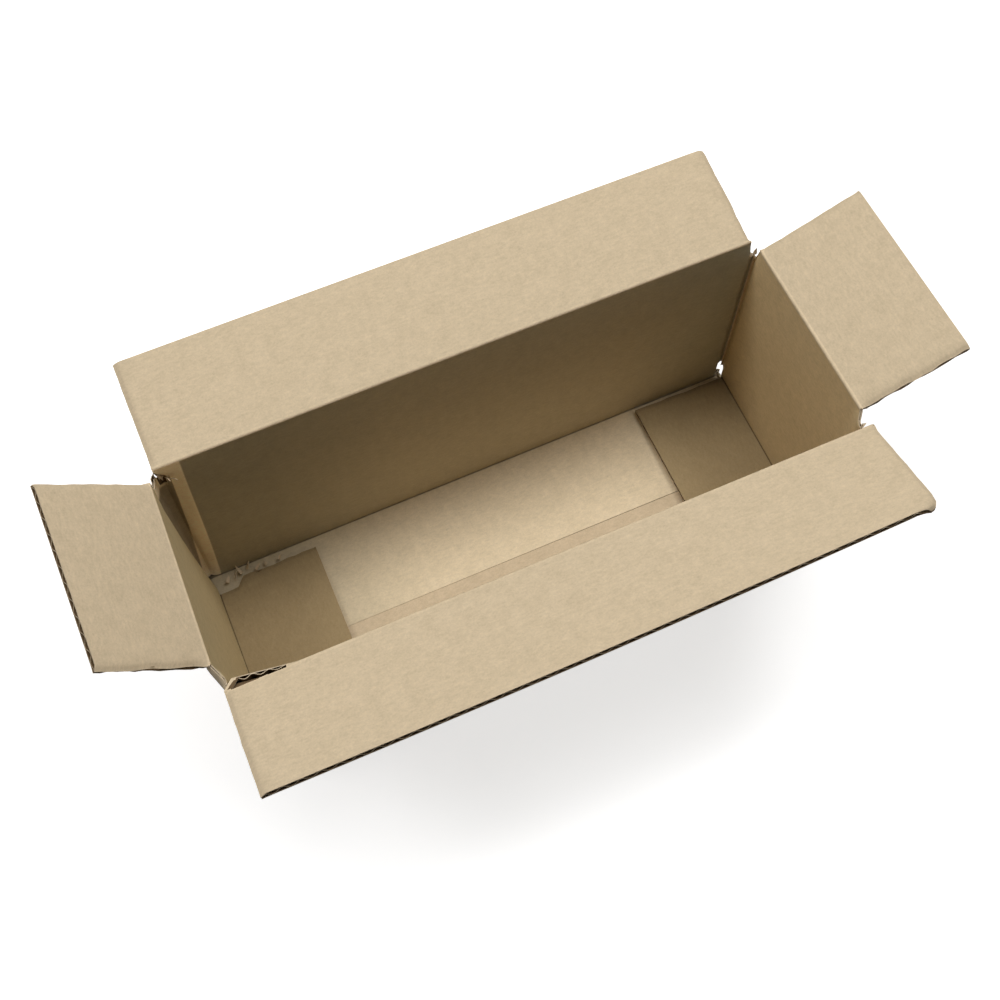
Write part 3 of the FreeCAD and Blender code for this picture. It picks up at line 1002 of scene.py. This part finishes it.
def paper_material(name, light, dark, bands=(), values=LINER_VALUES):
    """A paper finish. Each band has a tone, and the half sheets that it lies in: across, up, start, softness."""
    material, tree, shader = new_finish(name)
    sheet = tree.add("ShaderNodeUVMap", uv_map="sheet").outputs[0]
    fibre = tree.add("ShaderNodeGroup", node_tree=PAPER)
    for key, value in zip(("Sheet", *PAPER_INPUTS), (sheet, *values)):
        tree.feed(fibre.inputs[key], value)
    shade = fibre.outputs["Shade"]
    shaded = tree.add("ShaderNodeCombineXYZ", X=shade, Y=shade, Z=shade).outputs[0]
    colour = tree.blend(fibre.outputs["Cloud"], dark, light)
    colour = tree.blend(1.0, colour, shaded, "MULTIPLY")
    across_up = tree.add("ShaderNodeSeparateXYZ", Vector=tree.stretch(sheet, TO_MM)).outputs
    for tone, halves in bands:
        mask = 1.0
        for across, rise, start, softness in halves:
            line = tree.math("MULTIPLY_ADD", across_up[0], across, tree.math("MULTIPLY", across_up[1], rise))
            step = tree.math("DIVIDE", tree.math("SUBTRACT", line, start), softness)
            mask = tree.math("MULTIPLY", mask, tree.add("ShaderNodeClamp", Value=step).outputs[0])
        colour = tree.blend(mask, colour, tree.blend(1.0, colour, (*tone, 1), "MULTIPLY"))
    bump = tree.add("ShaderNodeBump", Strength=PAPER_BUMP, Distance=MM, Height=fibre.outputs["Height"])
    tree.feed(shader["Base Color"], colour)
    tree.feed(shader["Roughness"], PAPER_ROUGHNESS)
    tree.feed(shader["Specular IOR Level"], PAPER_SHEEN)
    tree.feed(shader["Normal"], bump.outputs[0])
    return material


def crease_wear_and_highlight(name, tone):
    """A flap's pale crease line: rubbed paper and a painted highlight of the rounded fold."""
    side = SIDES[name]
    start = wall_top(side, 0.5) - side["base"]
    end = start + FOLD_RADIUS * crease_line(side, 0.5)[0]
    return (tone, tone, tone), [(0, 1, start - 0.5, 0.6), (0, -1, -end - 0.7, 0.6)]


# %% [markdown]
# The tones below are factors on the plain kraft colour. Most of them are painted light and shade. The
# back wall is painted darker as its shade, with a painted lit strip where it bends outwards by the
# glued corner and a painted shadow where the tab shows behind it. The back bottom flap is painted
# brighter, and darker towards its left end. A painted shade line runs along each foot, the right
# wall's upper part is painted lighter, and the end walls are tinted darker and yellower as their
# shade. The pale creases are rubbed paper with a painted highlight. The short bottom flaps are darker.

# %% Tones of each liner
KRAFT_LIGHT = linear(217, 197, 166)
KRAFT_DARK = linear(203, 184, 152)
ON_WALL = (0, 1, 0.5, 0.5)
ON_BOTTOM = (0, -1, 0.5, 0.8)
UNDER_FOLD = (0, -1, -136.3, 0.8)
UNDER_SHORT_FOLD = (0, -1, -129.0, 0.8)
UNDER_POST = (0, -1, -126.5, 4.0)
UPPER_WALL = (0, 1, 60.0, 60.0)
SHORT_BOTTOM = ((0.52, 0.48, 0.38), [ON_BOTTOM])
# Painted shade: a dark line in the corner where a wall meets the floor.
FOOT_SHADE_LINE = ((0.4, 0.39, 0.38), [(0, 1, -3.6, 0.5), (0, -1, -3.8, 0.5)])

LINER_BANDS = {
    "back": [
        # painted shade: the back wall's inner face darker and bluer, as it faces away from the lamps
        ((0.78, 0.84, 0.88), [ON_WALL, UNDER_FOLD]),
        # painted light: the floor of the back bottom flap brighter, where the lamps light it
        ((1.13, 1.16, 1.18), [ON_BOTTOM]),
        # painted shadow: the floor darker towards its left end
        ((0.74, 0.76, 0.76), [ON_BOTTOM, (-1, 0, 40.0, 90.0)]),
        FOOT_SHADE_LINE,
        # painted shade: the back wall darker towards its left end
        ((0.8, 0.83, 0.87), [ON_WALL, UNDER_FOLD, (-1, 0, 40.0, 70.0)]),
        # painted shade: the back wall darker and bluer towards its right end
        ((0.84, 0.9, 0.97), [ON_WALL, UNDER_FOLD, (1, 0, 90.0, 50.0)]),
        # painted light: a bright strip where the back wall bends outwards by the glued corner
        ((2.5, 2.4, 2.4), [ON_WALL, UNDER_FOLD, (-1, 0.069, 146.8, 0.7)]),
        # painted shadow: the dark crevice where the tab shows behind the cut left wall
        ((0.35, 0.34, 0.32), [ON_WALL, UNDER_POST, (-1, 0.068, 155.5, 0.8)]),
        crease_wear_and_highlight("back", 1.05)],
    "front": [
        ((0.93, 0.92, 0.92), [ON_BOTTOM]),
        crease_wear_and_highlight("front", 1.08)],
    "left": [
        FOOT_SHADE_LINE,
        # painted shade: the left wall's inner face a little darker and yellower, as its shade looks
        ((0.95, 0.97, 0.84), [ON_WALL, UNDER_SHORT_FOLD]),
        SHORT_BOTTOM,
        crease_wear_and_highlight("left", 1.2)],
    "right": [
        FOOT_SHADE_LINE,
        # painted light: the upper part of the right wall lighter, where more light falls
        ((1.2, 1.2, 1.2), [UPPER_WALL, UNDER_SHORT_FOLD]),
        # painted shade: the right wall's inner face darker and yellower, as its shade looks
        ((0.95, 0.91, 0.77), [ON_WALL, UNDER_SHORT_FOLD]),
        SHORT_BOTTOM,
        crease_wear_and_highlight("right", 1.2)],
}
medium = paper_material("kraft_wave", linear(120, 98, 70), linear(96, 76, 52), values=(0.2, 0.2, 0.0))
outside = paper_material("kraft_outside", KRAFT_LIGHT, KRAFT_DARK)
cut = paper_material("cut_paper", linear(222, 205, 178), linear(186, 164, 132), values=(0.2, 0.5, 0.0))
print("papers", medium.name, outside.name, cut.name)

# %% [markdown]
# ## Assemble the box
# Each strip is made, gets its own liner finish and the shared wave, cut and outside finishes, and
# hides the plain solids of its flap and of the box.

for name, side in SIDES.items():
    strip = make_strip(name)
    liner = paper_material(f"kraft_{name}", KRAFT_LIGHT, KRAFT_DARK, LINER_BANDS[name])
    for material in (liner, medium, cut, outside):
        strip.data.materials.append(material)
    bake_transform(strip)
    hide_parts(f"{name}_flap", "box_body")

# %% [markdown]
# ## Torn fibres
# Where the slots end at the corners, the paper was torn and not cut, and small pale flakes stick out.
# Each flake is a narrow grid, curled along its length and pulled to a point. All of them are one
# piece, because they share a material and ride on the box. A row of the list is a flake's root, the
# way that it points, and its length.

# %% Flakes
FLAKES = [
    ((-147.6, 54.6, 126.4), (-0.5, 0.3, 0.6), 5.5), ((-146.4, 54.2, 125.0), (0.4, -0.5, 0.5), 4.5),
    ((-148.4, 55.2, 125.4), (-0.2, 0.5, 0.7), 4.0), ((-145.2, 54.0, 124.4), (0.7, -0.3, 0.2), 4.0),
    ((152.2, 52.6, 127.6), (0.3, 0.3, 0.8), 4.0), ((151.0, 52.4, 127.0), (-0.4, 0.4, 0.6), 3.5),
    ((151.8, -52.6, 128.0), (0.2, 0.5, 0.7), 4.0), ((152.6, -51.4, 128.6), (0.6, 0.2, 0.5), 3.0),
    ((-150.0, -50.6, 131.0), (-0.4, -0.3, 0.5), 3.5), ((-148.6, -50.0, 130.6), (0.5, 0.1, 0.6), 3.0),
    ((151.0, 53.2, 3.6), (-0.4, 0.2, 0.7), 4.0), ((152.6, 52.4, 4.2), (0.3, 0.4, 0.6), 3.5),
    ((-151.2, 55.6, 125.0), (0.0, 0.1, 1.0), 7.5), ((-149.6, 55.4, 125.4), (0.2, 0.0, 1.0), 7.0),
    ((-148.0, 55.0, 125.2), (-0.1, -0.2, 1.0), 6.0), ((-146.4, 47.0, 6.3), (0.5, 1.0, 0.1), 4.0),
    ((-141.5, 47.4, 6.3), (0.2, 1.0, 0.2), 4.5), ((-137.6, 49.0, 6.3), (-0.5, 1.0, 0.3), 5.5),
    ((-134.0, 50.2, 6.3), (0.3, 1.0, 0.2), 4.5), ((-130.2, 48.0, 6.3), (0.8, 0.8, 0.1), 4.0),
    ((-124.0, 48.4, 6.3), (-0.3, 1.0, 0.1), 3.0), ((-117.0, 48.6, 6.3), (0.5, 1.0, 0.1), 3.0),
]
FLAKE_BREADTH = 2.2
FLAKE_CURL = 1.2
FLAKE_CUP = 0.4
FLAKE_THICKNESS = 0.2
FLAKE_TURN = 1.7


def flake(target, root, direction, length, turn):
    """Add one curled flake of paper to the target mesh, in millimetres."""
    bm = bmesh.new()
    bmesh.ops.create_grid(bm, x_segments=8, y_segments=3, size=0.5)
    for point in bm.verts:
        reach = point.co.x + 0.5
        side_way = point.co.y
        breadth = FLAKE_BREADTH * (1.0 - reach ** 2) + 0.5 * noise.noise((reach * 5, turn, side_way))
        curl = FLAKE_CURL * reach ** 2 * math.sin(turn) + FLAKE_CUP * side_way ** 2
        point.co = (length * reach, breadth * side_way, curl)
    bmesh.ops.solidify(bm, geom=bm.faces[:], thickness=FLAKE_THICKNESS)
    turned = Vector(direction).to_track_quat("X", "Z").to_matrix() @ Matrix.Rotation(turn, 3, "X")
    bmesh.ops.transform(bm, matrix=Matrix.Translation(root) @ turned.to_4x4(), verts=bm.verts)
    pour(bm, target)


flakes = bmesh.new()
for index, (root, direction, length) in enumerate(FLAKES):
    flake(flakes, root, direction, length, FLAKE_TURN * index)
flakes_piece = finished_piece(flakes, "torn_fibres")
for polygon in flakes_piece.data.polygons:
    polygon.use_smooth = True
flakes_piece.data.materials.append(cut)
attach(flakes_piece, "box")

# %% [markdown]
# ## Tape
# The strip of tape under the box is a plain thin solid in the frame, and its shape is right, so it
# only gets its finish: a tan film with a soft gloss.

# %% Tape
RIPPLE_STRETCH = (60, 400, 60)
TAPE_GLOSS = (0.2, 0.22)

tape_finish, tape_tree, tape_shader = new_finish("tape_film")
on_object = tape_tree.add("ShaderNodeTexCoord").outputs["Object"]
ripple = tape_tree.noise(tape_tree.stretch(on_object, RIPPLE_STRETCH), 1.0, 3.0)
tape_colour = tape_tree.blend(ripple, linear(172, 130, 84), linear(186, 145, 98))
tape_tree.feed(tape_shader["Base Color"], tape_colour)
tape_tree.feed(tape_shader["Roughness"], tape_tree.math("MULTIPLY_ADD", ripple, *TAPE_GLOSS))
for slot in frame["nodes"]["bottom_tape"].material_slots:
    slot.material = tape_finish
print("finish", tape_finish.name)

# %% [markdown]
# ## Floor
# A broad pale floor catches the box's soft shadow. To the camera it glows a little, so that it reads
# as a white studio sweep without any more light falling on the box.

# %% Floor
FLOOR_SIZE = 4.0
FLOOR_GLOW = 0.7

floor_bm = bmesh.new()
bmesh.ops.create_grid(floor_bm, x_segments=1, y_segments=1, size=FLOOR_SIZE)
floor_mesh = bpy.data.meshes.new("floor")
floor_bm.to_mesh(floor_mesh)
floor_bm.free()
floor = add_object("floor", floor_mesh)
floor_finish, floor_tree, floor_shader = new_finish("floor_white")
seen_by_camera = floor_tree.add("ShaderNodeLightPath").outputs["Is Camera Ray"]
floor_tree.feed(floor_shader["Base Color"], (0.8, 0.8, 0.8, 1))
floor_tree.feed(floor_shader["Roughness"], 0.9)
floor_tree.feed(floor_shader["Emission Color"], WHITE)
floor_tree.feed(floor_shader["Emission Strength"], floor_tree.math("MULTIPLY", seen_by_camera, FLOOR_GLOW))
floor.data.materials.append(floor_finish)
